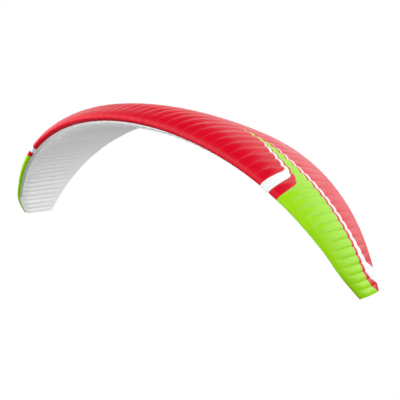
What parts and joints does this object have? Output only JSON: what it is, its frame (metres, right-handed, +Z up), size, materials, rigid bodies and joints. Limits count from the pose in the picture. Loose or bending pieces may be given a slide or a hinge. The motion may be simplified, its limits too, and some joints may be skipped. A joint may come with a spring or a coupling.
{
  "type": "paramotor wing",
  "caption": "Ram-air paramotor wing as it flies: an arc of ballooned cloth cells, red on top with white and green stripes at the tips, a pale underside, and ribs with line tabs.",
  "frame": {"origin": "on the chord of the middle section, 30 % back from its leading edge, where the air carries the wing", "axes": "+X along the span to the pilot's left, +Y from the leading edge back to the trailing edge, +Z up"},
  "size_m": [9.5382, 2.84, 3.0504],
  "materials": {
    "red_cloth": "coated ripstop cloth, satin",
    "green_cloth": "coated ripstop cloth, satin",
    "white_cloth": "coated ripstop cloth, satin",
    "underside_cloth": "coated ripstop cloth, satin, slightly see-through",
    "rib_cloth": "stiff woven cloth and webbing, matte"
  },
  "bodies": {
    "root": {"lower_panel_left_1": "underside_cloth", "lower_panel_left_2": "underside_cloth", "lower_panel_left_3": "underside_cloth", "lower_panel_left_4": "underside_cloth", "lower_panel_left_5": "underside_cloth", "lower_panel_left_6": "underside_cloth", "lower_panel_left_7": "underside_cloth", "lower_panel_middle": "underside_cloth", "lower_panel_right_1": "underside_cloth", "lower_panel_right_2": "underside_cloth", "lower_panel_right_3": "underside_cloth", "lower_panel_right_4": "underside_cloth", "lower_panel_right_5": "underside_cloth", "lower_panel_right_6": "underside_cloth", "lower_panel_right_7": "underside_cloth", "rib_left_1": "rib_cloth", "rib_left_2": "rib_cloth", "rib_left_3": "rib_cloth", "rib_left_4": "rib_cloth", "rib_left_5": "rib_cloth", "rib_left_6": "rib_cloth", "rib_left_7": "rib_cloth", "rib_left_8": "rib_cloth", "rib_right_1": "rib_cloth", "rib_right_2": "rib_cloth", "rib_right_3": "rib_cloth", "rib_right_4": "rib_cloth", "rib_right_5": "rib_cloth", "rib_right_6": "rib_cloth", "rib_right_7": "rib_cloth", "rib_right_8": "rib_cloth", "upper_panel_left_1": "red_cloth", "upper_panel_left_2": "red_cloth", "upper_panel_left_3": "red_cloth", "upper_panel_left_4": "white_cloth", "upper_panel_left_5": "red_cloth", "upper_panel_left_6": "green_cloth", "upper_panel_left_7": "green_cloth", "upper_panel_left_8": "green_cloth", "upper_panel_middle": "red_cloth", "upper_panel_right_1": "red_cloth", "upper_panel_right_2": "red_cloth", "upper_panel_right_3": "red_cloth", "upper_panel_right_4": "white_cloth", "upper_panel_right_5": "red_cloth", "upper_panel_right_6": "green_cloth", "upper_panel_right_7": "green_cloth", "upper_panel_right_8": "green_cloth"}
  },
  "joints": []
}
